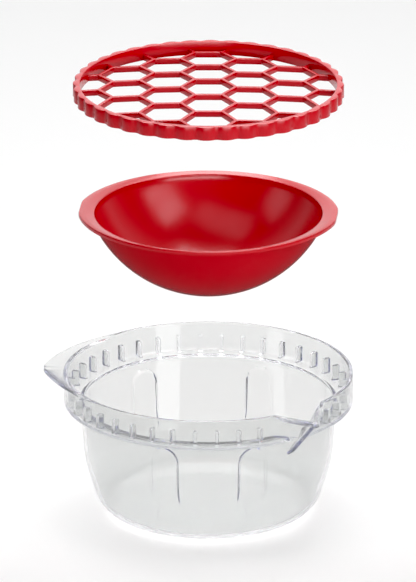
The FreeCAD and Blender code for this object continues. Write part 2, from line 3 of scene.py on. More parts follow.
import bmesh
import bpy
import numpy as np
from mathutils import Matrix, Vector


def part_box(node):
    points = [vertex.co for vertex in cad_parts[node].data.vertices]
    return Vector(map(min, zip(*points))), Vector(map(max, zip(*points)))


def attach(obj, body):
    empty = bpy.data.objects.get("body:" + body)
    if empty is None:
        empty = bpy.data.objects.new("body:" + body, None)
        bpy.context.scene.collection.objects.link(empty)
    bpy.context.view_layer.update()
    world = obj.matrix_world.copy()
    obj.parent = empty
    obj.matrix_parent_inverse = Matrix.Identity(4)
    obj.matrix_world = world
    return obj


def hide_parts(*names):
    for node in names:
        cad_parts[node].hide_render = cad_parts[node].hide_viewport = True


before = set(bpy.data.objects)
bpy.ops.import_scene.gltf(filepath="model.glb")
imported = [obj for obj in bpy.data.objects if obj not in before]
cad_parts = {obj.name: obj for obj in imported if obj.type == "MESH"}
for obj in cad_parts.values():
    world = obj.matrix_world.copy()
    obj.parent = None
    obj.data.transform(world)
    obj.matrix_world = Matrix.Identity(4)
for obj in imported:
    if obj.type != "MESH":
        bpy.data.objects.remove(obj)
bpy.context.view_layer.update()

# Jug: one clear moulding, turned in form, with a ledge, a wider rim band ribbed inside, a V spout at the
# right front, a thin pointed lip flush with the rim at the left, and arch-topped flutes in the wall.
# Its whole skin is one sheet of rows round the axis: up the outside, over the rim and down the inside.
MM = 0.001
JUG_RIM = 75.0
JUG_WALL = 2.0
FOOT_RADIUS = 55.5
FOOT_ROUND = 15.0
WAIST_RADIUS = 64.2
WAIST_HEIGHT = 27.0
WAIST_ROUND = 60.0
SHOULDER_RADIUS = 66.5
SHOULDER_ROUND = 0.8
BAND_RADIUS = 75.0
BAND_FOOT = 58.5
BAND_ROUND = 1.5
BAND_BORE = BAND_RADIUS - JUG_WALL
LEDGE = 60.5
LEDGE_ROUND = 0.9
INNER_FOOT = 54.05
INNER_WAIST = 62.25
INNER_WAIST_HEIGHT = 27.4
INNER_SHOULDER = 64.6
RIB_PITCH = 9.0
RIB_COUNT = 40
RIB_FACE = 69.5
RIB_FLANK = ((0.6, 0.78, 0.86), (1.0, 0.85, 0.0))
RIB_FREE = 1.5 * RIB_PITCH
SPOUT_ANGLE = -50.5
SPOUT_HALF = 13.2
SPOUT_REACH = 89.4
SPOUT_DIP = 4.1
SPOUT_FOOT = (65.55, 45.5)
SPOUT_FADE = 1.6
KEEL_ROUND = 0.013
LIP_ANGLE = 175.5
LIP_REACH = 86.5
LIP_FRONT = (36.0, 110.0)
LIP_BACK = (50.0, 85.0)
LIP_TIP_CUT = 1.1
LIP_TIP_TURN = 1.1
LIP_UNDERSIDE = 73.0
LIP_FILLET = 0.6
LIP_FILLET_STEP = 0.15
LIP_EDGE_ROUND = 0.5
LIP_LEAST = 0.7
FLUTE_ANGLES = (-111.0, -69.0, 65.0, 122.0)
FLUTE_HALF = 7.5
FLUTE_TOP = 55.0
FLUTE_FOOT = 15.0
FLUTE_DEPTH = 1.4
FLUTE_EDGE = (-0.4, 0.5)
FLUTE_LINING = JUG_WALL - 0.1
WELD = 0.02
SLIVER = 0.005
SHARP = math.radians(38)


def rounded_path(corners):
    """Points along a line of corners (radius, height, rounding, steps), each rounded by an arc."""
    path = []
    for k, (r, z, rounding, steps) in enumerate(corners):
        here = np.array((r, z))
        if not rounding:
            path.append(here)
            continue
        before = np.array(corners[k - 1][:2]) - here
        after = np.array(corners[k + 1][:2]) - here
        before /= np.linalg.norm(before)
        after /= np.linalg.norm(after)
        half = math.acos(np.clip(before @ after, -1, 1)) / 2
        middle = (before + after) / np.linalg.norm(before + after)
        centre = here + middle * rounding / math.sin(half)
        start = here + before * rounding / math.tan(half) - centre
        stop = here + after * rounding / math.tan(half) - centre
        swing = math.acos(np.clip(start @ stop / rounding ** 2, -1, 1))
        for step in range(steps + 1):
            share = step / steps
            path.append(centre + (start * math.sin((1 - share) * swing) + stop * math.sin(share * swing))
                        / math.sin(swing))
    return path


def divided(path):
    """The same path with its long runs divided, and more finely at the height of the flutes' arches."""
    probe, fine_step, long_step = 0.4, 0.45, 3.0
    arch_from, arch_to = 45.5, 56.5
    fine = [path[0]]
    for a, b in zip(path, path[1:]):
        parts = max(1, math.ceil(np.linalg.norm(b - a) / probe))
        for k in range(parts):
            here = a + (b - a) * (k + 1) / parts
            step = fine_step if arch_from < here[1] < arch_to else long_step
            if k == parts - 1 or np.linalg.norm(here - fine[-1]) >= step:
                fine.append(here)
    return fine


def made_clean(mesh):
    """Weld a mesh, close what is left open, turn its faces outwards and smooth all but its sharp edges."""
    work = bmesh.new()
    work.from_mesh(mesh)
    bmesh.ops.remove_doubles(work, verts=work.verts, dist=WELD * MM)
    bmesh.ops.dissolve_degenerate(work, edges=work.edges, dist=SLIVER * MM)
    bmesh.ops.holes_fill(work, edges=[edge for edge in work.edges if edge.is_boundary], sides=0)
    bmesh.ops.recalc_face_normals(work, faces=work.faces)
    work.to_mesh(mesh)
    work.free()
    mesh.shade_smooth()
    mesh.set_sharp_from_angle(angle=SHARP)


def new_piece(name, points, faces):
    """An object at the origin with a plain mesh."""
    mesh = bpy.data.meshes.new(name)
    mesh.from_pydata(points, [], faces)
    piece = bpy.data.objects.new(name, mesh)
    bpy.context.collection.objects.link(piece)
    return piece


def closed_skin(name, angles, rows):
    """A closed piece from rows of (radius, height) round the axis; a row of radius zero becomes one pole."""
    count = len(angles)
    points = []
    for radius, height in rows:
        radius = np.broadcast_to(radius, count)
        height = np.broadcast_to(height, count)
        points.append(np.stack([radius * np.cos(angles), radius * np.sin(angles), height], axis=1))
    points = np.concatenate(points) * MM
    faces = []
    for row in range(len(rows) - 1):
        for k in range(count):
            a = row * count + k
            b = row * count + (k + 1) % count
            faces.append((a, b, b + count, a + count))
    piece = new_piece(name, points.tolist(), faces)
    made_clean(piece.data)
    return piece


def smooth(low, high, value):
    """A soft step from 0 at the low value to 1 at the high one."""
    share = np.clip((value - low) / (high - low), 0, 1)
    return share * share * (3 - 2 * share)


def turned_from(angle):
    """How far each of the jug's angles lies from this one, in degrees, within half a turn either way."""
    return (np.degrees(jug_angles) - angle + 180) % 360 - 180


# The jug's angles: close together at the ribs' flanks, flutes, keel, spout's sides and lip's tip
rib_steps = (-0.86, -0.78, -0.6, 0, 0.6, 0.78, 0.86, 1.7, 3.1, 4.5, 5.9, 7.3)
flute_steps = [0.38 * step for step in range(-19, 20)]
spout_steps = [side * step for side in (-1, 1) for step in (0.2, 0.4, 1.2, 12.6, 13.2)]
lip_steps = (-2.2, -1.4, -0.7, 0, 0.7, 1.4, 2.2)
least_step = 0.07
degrees = [SPOUT_ANGLE + RIB_PITCH * k + step for k in range(RIB_COUNT) for step in rib_steps]
degrees += [flute + step for flute in FLUTE_ANGLES for step in flute_steps]
degrees += [SPOUT_ANGLE + step for step in spout_steps]
degrees += [LIP_ANGLE + step for step in lip_steps]
degrees = sorted({round((d + 360) % 360, 3) for d in degrees})
degrees = [d for d, after in zip(degrees, degrees[1:] + [degrees[0] + 360]) if after - d > least_step]
jug_angles = np.radians(degrees)

# Spout: two flat facets that meet in the keel; the same facets, moved in by the wall, line its channel
half_turn = math.radians(SPOUT_HALF)
spout_side = np.array((BAND_RADIUS * math.cos(half_turn), BAND_RADIUS * math.sin(half_turn), JUG_RIM))
spout_tip = np.array((SPOUT_REACH, 0, JUG_RIM - SPOUT_DIP))
spout_foot = np.array((SPOUT_FOOT[0], 0, SPOUT_FOOT[1]))
facet = np.cross(spout_side - spout_foot, spout_tip - spout_foot)
facet /= np.linalg.norm(facet)
facet *= np.sign(facet[0])
off_spout = np.radians(np.abs(turned_from(SPOUT_ANGLE)))
at_spout = off_spout < half_turn
inset = JUG_WALL / facet[0]


def facet_radius(height, moved_in):
    """Where the spout's facets and the rounded keel between them lie at this height, at each angle."""
    along = facet[0] * np.cos(off_spout) + facet[1] * np.hypot(np.sin(off_spout), KEEL_ROUND)
    reach = (facet @ (spout_foot - np.array((moved_in, 0, 0))) - facet[2] * height) / along
    return np.where(off_spout < SPOUT_FADE * half_turn, reach, 0)


slope = SPOUT_DIP / (spout_tip[0] - spout_side[0])
spout_top = np.full(len(jug_angles), JUG_RIM)
channel_top = np.full(len(jug_angles), JUG_RIM)
spout_edge = np.full(len(jug_angles), BAND_RADIUS)
for settling in range(12):
    for top, moved_in in ((spout_top, 0.0), (channel_top, inset)):
        reach = facet_radius(top, moved_in) * np.cos(off_spout)
        top[at_spout] = np.minimum(JUG_RIM - slope * (reach - spout_side[0]), JUG_RIM)[at_spout]
spout_edge[at_spout] = np.maximum(facet_radius(spout_top, 0.0), BAND_RADIUS)[at_spout]

# Lip: how far the rim's edge stands out, along two bowed flanks that meet in a rounded tip
lip_edge = np.full(len(jug_angles), BAND_RADIUS)
off_lip = turned_from(LIP_ANGLE)
for side, (reach_angle, bow) in ((1, LIP_FRONT), (-1, LIP_BACK)):
    tip = np.array((LIP_REACH, 0.0))
    turn = math.radians(reach_angle)
    root = (BAND_RADIUS - JUG_WALL / 2) * np.array((math.cos(turn), math.sin(turn)))
    chord = root - tip
    length = np.linalg.norm(chord)
    outward = np.array((chord[1], -chord[0])) / length
    centre = (tip + root) / 2 - outward * math.sqrt(bow ** 2 - length ** 2 / 4)
    off = np.radians(off_lip * side)
    along = np.cos(off) * centre[0] + np.sin(off) * centre[1]
    flank = along + np.sqrt(np.maximum(along ** 2 - centre @ centre + bow ** 2, 0))
    here = (off >= 0) & (off < turn)
    lip_edge[here] = np.maximum(flank, BAND_RADIUS)[here]
lip_edge -= LIP_TIP_CUT * np.exp(-(off_lip / LIP_TIP_TURN) ** 2)
lip_edge = np.maximum(lip_edge, BAND_RADIUS)

outside = divided(rounded_path([
    (0, 0, 0, 0),
    (FOOT_RADIUS, 0, FOOT_ROUND, 14),
    (WAIST_RADIUS, WAIST_HEIGHT, WAIST_ROUND, 8),
    (SHOULDER_RADIUS, BAND_FOOT, SHOULDER_ROUND, 3),
    (BAND_RADIUS, BAND_FOOT, BAND_ROUND, 5),
    (BAND_RADIUS, LIP_UNDERSIDE - LIP_FILLET, 0, 0),
]))
inside = divided(rounded_path([
    (0, JUG_WALL, 0, 0),
    (INNER_FOOT, JUG_WALL, FOOT_ROUND - JUG_WALL, 12),
    (INNER_WAIST, INNER_WAIST_HEIGHT, WAIST_ROUND - JUG_WALL, 8),
    (INNER_SHOULDER, LEDGE, SHOULDER_ROUND, 4),
    (BAND_BORE - SHOULDER_ROUND, LEDGE, 0, 0),
]))


def fluted(r, z, thickness):
    """A wall row's radius with the flutes pressed in; their floors run down and fade in the foot's curve."""
    radius = np.full(len(jug_angles), r)
    if not FLUTE_FOOT < z < FLUTE_TOP + 1:
        return radius
    wall_lean = (SHOULDER_RADIUS - WAIST_RADIUS) / (BAND_FOOT - WAIST_HEIGHT)
    flute_floor = SHOULDER_RADIUS - FLUTE_DEPTH - thickness - wall_lean * (BAND_FOOT - z)
    for flute in FLUTE_ANGLES:
        across = np.radians(turned_from(flute)) * r
        above = max(z - (FLUTE_TOP - FLUTE_HALF), 0)
        share = smooth(*FLUTE_EDGE, FLUTE_HALF - np.hypot(across, above))
        radius -= share * max(r - flute_floor, 0)
    return radius


# Up the outside to the lip's underside
rows = []
for r, z in outside:
    radius = fluted(r, z, 0.0)
    lift = z + max(z - BAND_FOOT, 0) / (JUG_RIM - BAND_FOOT) * (spout_top - JUG_RIM)
    rows.append((np.maximum(radius, facet_radius(lift, 0.0)) if r else 0.0, lift))
edge = np.maximum(lip_edge, spout_edge)
stand = lip_edge - BAND_RADIUS
wall = np.where(at_spout, spout_edge, BAND_RADIUS)
dip = spout_top - JUG_RIM
under = LIP_UNDERSIDE + dip
for out, down in ((LIP_FILLET_STEP, LIP_FILLET_STEP), (LIP_FILLET, 0.0)):
    rows.append((np.maximum(wall + np.minimum(stand, out), facet_radius(under - down, 0.0)), under - down))
rows.append((wall + np.maximum(stand - LIP_EDGE_ROUND, np.minimum(stand, LIP_FILLET)), under))

# Over the rim: how far in from its outer edge, or out from its bore, and how far below its top each row lies
rim_outer_rows = ((0.15, 1.85), (0.0, 1.5), (0.0, 0.8), (0.23, 0.23), (0.8, 0.0), (0.88, 0.0))
rim_inner_rows = ((0.88, 0.0), (0.8, 0.0), (0.23, 0.23), (0.0, 0.8), (0.0, 0.95))
rim_least = 0.9
for inward, drop in rim_outer_rows:
    plain = wall if drop > 1 else edge - inward
    rows.append((np.where(stand > LIP_LEAST, edge - inward, plain), JUG_RIM + dip - drop))
bore = np.where(at_spout, np.maximum(BAND_BORE, facet_radius(channel_top, inset)), BAND_BORE)
cut = channel_top - JUG_RIM
for outward, drop in rim_inner_rows:
    rows.append((np.minimum(bore + outward, edge - rim_least), JUG_RIM + cut - drop))

# Down the ribbed bore of the band, over the ledge and down the inside
rib_near = np.abs((np.degrees(jug_angles) - SPOUT_ANGLE + RIB_PITCH / 2) % RIB_PITCH - RIB_PITCH / 2)
rib = np.interp(rib_near, *RIB_FLANK)
rib[np.abs(turned_from(SPOUT_ANGLE)) < RIB_FREE] = 0
rib_depth = BAND_BORE - RIB_FACE
rib_rows = ((73.0, 0), (71.5, 0), (70.0, 0), (69.0, 0), (68.6, 0), (68.45, 0.85), (68.2, 1), (66.5, 1),
            (64.5, 1), (62.8, 1), (61.6, 1))
ledge_rows = ((0.0, LEDGE_ROUND), (0.25, 0.25), (LEDGE_ROUND, 0.0))
for z, share in rib_rows:
    lift = z + cut * (z - LEDGE) / (JUG_RIM - LEDGE)
    rows.append((np.maximum(BAND_BORE - rib_depth * rib * share, facet_radius(lift, inset)), lift))
for inward, rise in ledge_rows:
    lift = LEDGE + rise + cut * rise / (JUG_RIM - LEDGE)
    rows.append((np.maximum(BAND_BORE - rib_depth * rib - inward, facet_radius(lift, inset)), lift))
ledge_foot = BAND_BORE - rib_depth * rib - LEDGE_ROUND
for r, z in reversed(inside[:-1]):
    radius = np.minimum(r, ledge_foot) if z > LEDGE - 0.01 else fluted(r, z, FLUTE_LINING)
    rows.append((np.maximum(radius, facet_radius(z, inset)) if r else 0.0, z))
jug = closed_skin("jug_shell", jug_angles, rows)


def new_finish(name):
    """A material with its node tree and the shader in it."""
    finish = bpy.data.materials.new(name)
    finish.use_nodes = True
    return finish, finish.node_tree, finish.node_tree.nodes["Principled BSDF"]


def mottle(tree, scale, detail):
    """A noise that is fixed to the piece."""
    place = tree.nodes.new("ShaderNodeTexCoord")
    noise = tree.nodes.new("ShaderNodeTexNoise")
    noise.inputs["Scale"].default_value = scale
    noise.inputs["Detail"].default_value = detail
    tree.links.new(place.outputs["Object"], noise.inputs["Vector"])
    return noise.outputs["Fac"]


def uneven_polish(tree, noise, smoothest, dullest):
    """Roughness that wanders between two values over the piece."""
    polish = tree.nodes.new("ShaderNodeMapRange")
    polish.inputs["To Min"].default_value = smoothest
    polish.inputs["To Max"].default_value = dullest
    tree.links.new(noise, polish.inputs["Value"])
    tree.links.new(polish.outputs["Result"], tree.nodes["Principled BSDF"].inputs["Roughness"])


def uneven_face(tree, noise, strength, distance):
    """A face that isn't quite true, as a bump."""
    bump = tree.nodes.new("ShaderNodeBump")
    bump.inputs["Strength"].default_value = strength
    bump.inputs["Distance"].default_value = distance
    tree.links.new(noise, bump.inputs["Height"])
    tree.links.new(bump.outputs["Normal"], tree.nodes["Principled BSDF"].inputs["Normal"])


clear, tree, shader = new_finish("clear_plastic")
shader.inputs["Base Color"].default_value = (0.835, 0.845, 0.834, 1)
shader.inputs["Transmission Weight"].default_value = 0.96
shader.inputs["IOR"].default_value = 1.36
tint = tree.nodes.new("ShaderNodeVolumeAbsorption")
tint.inputs["Color"].default_value = (0.1, 0.12, 0.6, 1)
tint.inputs["Density"].default_value = 8.0
tree.links.new(tint.outputs["Volume"], tree.nodes["Material Output"].inputs["Volume"])
uneven_polish(tree, mottle(tree, scale=55.0, detail=3.0), smoothest=0.015, dullest=0.05)
uneven_face(tree, mottle(tree, scale=28.0, detail=1.0), strength=0.06, distance=0.002)
jug.data.materials.append(clear)
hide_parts("clear_jug")
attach(jug, "jug")

# Bowl: one red moulding, a part of a sphere with an even wall, hung by a flange whose eye-shaped outline ends
# in two blunt ears. The ears rest on the jug's ledge, and the flange's top falls a little to the opening.
FLANGE_TOP = 2.5
BOWL_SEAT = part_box("inner_bowl")[1][2] / MM - FLANGE_TOP
BOWL_DEPTH = 40.5
BOWL_RIM = 60.8
BOWL_WALL = 2.0
BOWL_STEPS = 30
BOWL_TURN = -5.0
EAR_REACH = 66.6
EAR_HALF = 9.0
EAR_CORNER = 0.25
FLANGE_CROWN = 62.7
FLANGE_MIDDLE_DROP = 0.45

ball = (BOWL_RIM ** 2 + BOWL_DEPTH ** 2) / (2 * BOWL_DEPTH)
ball_height = ball - BOWL_DEPTH
opening = BOWL_RIM - BOWL_WALL
bowl_angles = np.radians(np.arange(0, 360, 1.0) + BOWL_TURN)
off_ear = bowl_angles - math.radians(BOWL_TURN)
bow_drop = (EAR_REACH ** 2 + EAR_HALF ** 2 - FLANGE_CROWN ** 2) / (2 * (FLANGE_CROWN - EAR_HALF))
rise = np.abs(np.sin(off_ear))
side_edge = np.sqrt((FLANGE_CROWN + bow_drop) ** 2 - bow_drop ** 2 * (1 - rise ** 2)) - bow_drop * rise
ear_edge = EAR_REACH / np.maximum(np.abs(np.cos(off_ear)), 0.1)
flange_edge = -EAR_CORNER * np.log(np.exp(-side_edge / EAR_CORNER) + np.exp(-ear_edge / EAR_CORNER))


def ball_rows(radius, lowest):
    """Rows of a sphere about the bowl's own centre, from next to its pole up to this lean from the axis."""
    leans = [lowest * step / BOWL_STEPS for step in range(1, BOWL_STEPS + 1)]
    return [(radius * math.sin(lean), ball_height - radius * math.cos(lean)) for lean in leans]


# Up the outside, out under the flange, round its edge, in over its top and down the inside
neck_rows = ((0.25, -0.08), (0.9, 0.0))
edge_rows = ((0.6, 0.0), (0.18, 0.18), (0.0, 0.6), (0.0, FLANGE_TOP - 0.6), (0.18, FLANGE_TOP - 0.18),
             (0.6, FLANGE_TOP))
opening_rows = ((0.8, 0.85), (0.31, 1.0), (0.06, 1.3), (0.0, 1.7))
inner_ball = ball - BOWL_WALL
rows = [(0.0, -BOWL_DEPTH)]
rows += ball_rows(ball, math.acos(ball_height / ball))
rows += [(BOWL_RIM + outward, height) for outward, height in neck_rows]
rows += [(flange_edge - inward, height) for inward, height in edge_rows]
rows += [(opening + (flange_edge - opening) * 0.5, FLANGE_TOP - FLANGE_MIDDLE_DROP)]
rows += [(opening + outward, FLANGE_TOP - drop) for outward, drop in opening_rows]
rows += reversed(ball_rows(inner_ball, math.asin(opening / inner_ball)))
rows += [(0.0, ball_height - inner_ball)]
bowl = closed_skin("egg_bowl", bowl_angles, [(r, z + BOWL_SEAT) for r, z in rows])

red, tree, shader = new_finish("red_plastic")
shader.inputs["IOR"].default_value = 1.5
shader.inputs["Specular IOR Level"].default_value = 0.45
cloud = mottle(tree, scale=22.0, detail=4.0)
pigment = tree.nodes.new("ShaderNodeValToRGB")
deeper, paler = pigment.color_ramp.elements
deeper.position = 0.3
deeper.color = (0.44, 0.008, 0.0145, 1)
paler.position = 0.7
paler.color = (0.48, 0.008, 0.0165, 1)
tree.links.new(cloud, pigment.inputs["Fac"])
tree.links.new(pigment.outputs["Color"], shader.inputs["Base Color"])
uneven_polish(tree, cloud, smoothest=0.19, dullest=0.27)
uneven_face(tree, mottle(tree, scale=1400.0, detail=2.0), strength=0.06, distance=0.0003)
bowl.data.materials.append(red)
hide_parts("inner_bowl")
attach(bowl, "bowl")

# Grid: one red moulding, a ring scalloped outside like a pie crust round a slightly domed floor of hexagonal
# openings. It lies loose on the bowl's flange, and the jug's ribs stand in the valleys of its ring.
# One crest of the ring and one cell of the floor are drawn, and two node trees repeat them.
GRID_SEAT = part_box("honeycomb_grid")[0][2] / MM
RING_HEIGHT = 7.2
RING_BORE = 66.1
RING_ROUND = 0.4
RING_ROUND_STEP = 0.12
BORE_ROUND = 0.35
BORE_ROUND_STEP = 0.1
CREST = 69.7
CREST_STEPS = 6
CREST_COUNT = 40
VALLEY = 68.3
VALLEY_ROUND = 3.2
VALLEY_STEPS = 5
CELL_SIDE = 14.1
CELL_CORNER = 0.8
CELL_COLUMNS = 7
CELL_ROWS = 7
BAR_WIDTH = 1.8
BAR_HEIGHT = 3.1
BAR_ROUND = 0.3
BAR_ROUND_STEP = 0.09
FLOOR_RISE = 2.5
FLOOR_END = 67.2
FLOOR_TRIM = 1.2


def node_tree(name, sizes):
    """An empty tree with a geometry input and output, a material input and named sizes."""
    tree = bpy.data.node_groups.new(name, "GeometryNodeTree")
    tree.interface.new_socket("Geometry", in_out="INPUT", socket_type="NodeSocketGeometry")
    for size_name, kind in sizes:
        tree.interface.new_socket(size_name, in_out="INPUT", socket_type=kind)
    tree.interface.new_socket("Material", in_out="INPUT", socket_type="NodeSocketMaterial")
    tree.interface.new_socket("Geometry", in_out="OUTPUT", socket_type="NodeSocketGeometry")
    return tree, tree.nodes.new("NodeGroupInput").outputs, tree.nodes.new("NodeGroupOutput")


def wired(tree, kind, **inputs):
    """A node of this kind with sockets led into its inputs."""
    node = tree.nodes.new(kind)
    for name, socket in inputs.items():
        tree.links.new(socket, node.inputs[name])
    return node


def maths(tree, operation, first, second=None):
    """The result of a math node; each operand is a number or a socket."""
    node = tree.nodes.new("ShaderNodeMath")
    node.operation = operation
    for socket, operand in zip(node.inputs, (first, second)):
        if operand is None:
            continue
        if isinstance(operand, (int, float)):
            socket.default_value = operand
        else:
            tree.links.new(operand, socket)
    return node.outputs[0]


def welded_copies(tree, **inputs):
    """Copies of a shape on points, made real and welded where they meet."""
    copies = wired(tree, "GeometryNodeInstanceOnPoints", **inputs)
    real = wired(tree, "GeometryNodeRealizeInstances", Geometry=copies.outputs["Instances"])
    welded = wired(tree, "GeometryNodeMergeByDistance", Geometry=real.outputs["Geometry"])
    welded.inputs["Distance"].default_value = WELD * MM
    return welded.outputs["Geometry"]


def given_out(tree, given, result, geometry):
    """The end of a tree: the geometry with its material."""
    coat = wired(tree, "GeometryNodeSetMaterial", Geometry=geometry, Material=given["Material"])
    tree.links.new(coat.outputs["Geometry"], result.inputs["Geometry"])


def grown(piece, tree, values):
    """Run a tree on a piece with these inputs and keep its result as the piece's plain mesh."""
    modifier = piece.modifiers.new(tree.name, "NODES")
    modifier.node_group = tree
    for item in tree.interface.items_tree:
        if item.item_type == "SOCKET" and item.in_out == "INPUT" and item.name in values:
            modifier[item.identifier] = values[item.name]
    bpy.context.view_layer.update()
    made = bpy.data.meshes.new_from_object(piece.evaluated_get(bpy.context.evaluated_depsgraph_get()))
    piece.modifiers.remove(modifier)
    piece.data = made


# One crest: half a valley, the broad crest and half the next valley, each arc running smoothly into the next
half_pitch = math.pi / CREST_COUNT
far = VALLEY + VALLEY_ROUND
crest_round = ((CREST ** 2 + far ** 2 - VALLEY_ROUND ** 2 - 2 * CREST * far * math.cos(half_pitch))
               / (2 * (CREST + VALLEY_ROUND - far * math.cos(half_pitch))))
middle = CREST - crest_round
lean = math.atan2(far * math.sin(half_pitch), far * math.cos(half_pitch) - middle)
upper = []
for step in range(CREST_STEPS + 1):
    turn = lean * step / CREST_STEPS
    upper.append((middle + crest_round * math.cos(turn), crest_round * math.sin(turn)))
for step in range(1, VALLEY_STEPS + 1):
    turn = math.pi + lean + (half_pitch - lean) * step / VALLEY_STEPS
    upper.append((far * math.cos(half_pitch) + VALLEY_ROUND * math.cos(turn),
                  far * math.sin(half_pitch) + VALLEY_ROUND * math.sin(turn)))
outline = [(x, -y) for x, y in reversed(upper[1:])] + upper

# The ring's section, up its scalloped face and down its bore: how far in from the face, or out from the bore
face_rows = [(RING_ROUND, 0.0), (RING_ROUND_STEP, RING_ROUND_STEP), (0.0, RING_ROUND)]
face_rows += [(inward, RING_HEIGHT - z) for inward, z in reversed(face_rows)]
bore_rows = [(BORE_ROUND, 0.0), (BORE_ROUND_STEP, BORE_ROUND_STEP), (0.0, BORE_ROUND)]
bore_rows = [(outward, RING_HEIGHT - z) for outward, z in bore_rows] + bore_rows[::-1]
section = [(False, *row) for row in face_rows] + [(True, *row) for row in bore_rows]
points = []
for at_bore, off_face, z in section:
    for x, y in outline:
        turn = math.atan2(y, x)
        radius = RING_BORE + off_face if at_bore else math.hypot(x, y) - off_face
        points.append((radius * math.cos(turn) * MM, radius * math.sin(turn) * MM, (z + GRID_SEAT) * MM))
width = len(outline)
faces = []
for row in range(len(section)):
    after = (row + 1) % len(section)
    for k in range(width - 1):
        faces.append((row * width + k, row * width + k + 1, after * width + k + 1, after * width + k))
ring = new_piece("scalloped_ring", points, faces)

tree, given, result = node_tree("crests_round_the_ring", [
    ("Crests", "NodeSocketInt"), ("First angle", "NodeSocketFloat")])
spots = wired(tree, "GeometryNodePoints", Count=given["Crests"])
number = tree.nodes.new("GeometryNodeInputIndex").outputs[0]
pitch = maths(tree, "DIVIDE", math.tau, given["Crests"])
angle = maths(tree, "ADD", maths(tree, "MULTIPLY", number, pitch), given["First angle"])
spin = wired(tree, "ShaderNodeCombineXYZ", Z=angle)
crests = welded_copies(tree, Points=spots.outputs["Points"], Instance=given["Geometry"],
                       Rotation=spin.outputs["Vector"])
given_out(tree, given, result, crests)
first_crest = math.radians(SPOUT_ANGLE + RIB_PITCH / 2)
grown(ring, tree, {"Crests": CREST_COUNT, "First angle": first_crest, "Material": red})

# One cell: from the middle of the bars over their edge, down the opening and back under, its corners rounded
open_side = CELL_SIDE - BAR_WIDTH / math.sqrt(3)


def ray(turn):
    """A step of length one in this direction."""
    return np.array((math.cos(turn), math.sin(turn)))


def hexagon(side, rounding):
    """Points round a hexagon, as many on each: an arc at every corner and five points along every side."""
    middle_reach = side - rounding * 2 / math.sqrt(3)
    ring_points = []
    for k in range(6):
        corner = math.radians(60 * k)
        before, way, after = (ray(corner + turn) for turn in (-math.pi / 3, 0, math.pi / 3))
        if rounding:
            arc = [way * middle_reach + rounding * ray(corner + turn)
                   for turn in np.radians((-30, -15, 0, 15, 30))]
        else:
            arc = [way * side + (before - way) * 0.5, way * side + (before - way) * 0.25, way * side,
                   way * side + (after - way) * 0.25, way * side + (after - way) * 0.5]
        start = arc[-1]
        reach = np.linalg.norm(start - way * side)
        stop = after * side - (after - way) * reach
        ring_points += arc
        ring_points += [start + (stop - start) * share for share in (1 / 6, 1 / 3, 1 / 2, 2 / 3, 5 / 6)]
    return ring_points


bar_rows = [(BAR_ROUND, 0.0), (BAR_ROUND_STEP, BAR_ROUND_STEP), (0.0, BAR_ROUND)]
levels = [(CELL_SIDE, 0.0, BAR_HEIGHT)]
levels += [(open_side + out, CELL_CORNER, BAR_HEIGHT - drop) for out, drop in bar_rows]
levels += [(open_side + out, CELL_CORNER, rise) for out, rise in reversed(bar_rows)]
levels += [(CELL_SIDE, 0.0, 0.0)]
outlines = [hexagon(side, rounding) for side, rounding, z in levels]
points = []
for outline, (side, rounding, z) in zip(outlines, levels):
    points += [(x * MM, y * MM, z * MM) for x, y in outline]
width = len(outlines[0])
faces = []
for row in range(len(levels) - 1):
    for k in range(width):
        a = row * width + k
        b = row * width + (k + 1) % width
        faces.append((a, a + width, b + width, b))
floor_net = new_piece("honeycomb_floor", points, faces)

tree, given, result = node_tree("cells_over_the_floor", [
    ("Columns", "NodeSocketInt"), ("Rows", "NodeSocketInt"), ("Cell side", "NodeSocketFloat"),
    ("Floor radius", "NodeSocketFloat"), ("Trim", "NodeSocketFloat"), ("Rise", "NodeSocketFloat"),
    ("Height", "NodeSocketFloat")])


def centred(tree, number, count):
    """A cell's place in a line of cells, counted from the line's middle."""
    return maths(tree, "SUBTRACT", number, maths(tree, "MULTIPLY", maths(tree, "SUBTRACT", count, 1), 0.5))


cells = wired(tree, "GeometryNodePoints", Count=maths(tree, "MULTIPLY", given["Columns"], given["Rows"]))
number = tree.nodes.new("GeometryNodeInputIndex").outputs[0]
column = maths(tree, "FLOOR", maths(tree, "DIVIDE", number, given["Rows"]))
row = maths(tree, "SUBTRACT", number, maths(tree, "MULTIPLY", column, given["Rows"]))
column = centred(tree, column, given["Columns"])
row = centred(tree, row, given["Rows"])
odd = maths(tree, "PINGPONG", column, 1.0)
row = maths(tree, "ADD", row, maths(tree, "MULTIPLY", odd, 0.5))
across = maths(tree, "MULTIPLY", maths(tree, "MULTIPLY", column, 1.5), given["Cell side"])
along = maths(tree, "MULTIPLY", maths(tree, "MULTIPLY", row, math.sqrt(3)), given["Cell side"])
spread = wired(tree, "ShaderNodeCombineXYZ", X=across, Y=along)
laid = wired(tree, "GeometryNodeSetPosition", Geometry=cells.outputs["Points"],
             Position=spread.outputs["Vector"])
net = welded_copies(tree, Points=laid.outputs["Geometry"], Instance=given["Geometry"])

# Cells outside the ring are cut away, their ends pulled back into the ring's wall and the floor domed
where = tree.nodes.new("GeometryNodeInputPosition").outputs[0]
spot = wired(tree, "ShaderNodeSeparateXYZ", Vector=where).outputs
square = maths(tree, "ADD", maths(tree, "MULTIPLY", spot["X"], spot["X"]),
               maths(tree, "MULTIPLY", spot["Y"], spot["Y"]))
distance = maths(tree, "SQRT", square)
too_far = maths(tree, "GREATER_THAN", distance, maths(tree, "ADD", given["Floor radius"], given["Trim"]))
trim = wired(tree, "GeometryNodeDeleteGeometry", Geometry=net, Selection=too_far)
trim.domain = "FACE"
pull = maths(tree, "MINIMUM", 1.0,
             maths(tree, "DIVIDE", given["Floor radius"], maths(tree, "MAXIMUM", distance, MM)))
share = maths(tree, "DIVIDE", maths(tree, "MULTIPLY", distance, pull), given["Floor radius"])
fall = maths(tree, "SUBTRACT", 1.0, maths(tree, "MULTIPLY", share, share))
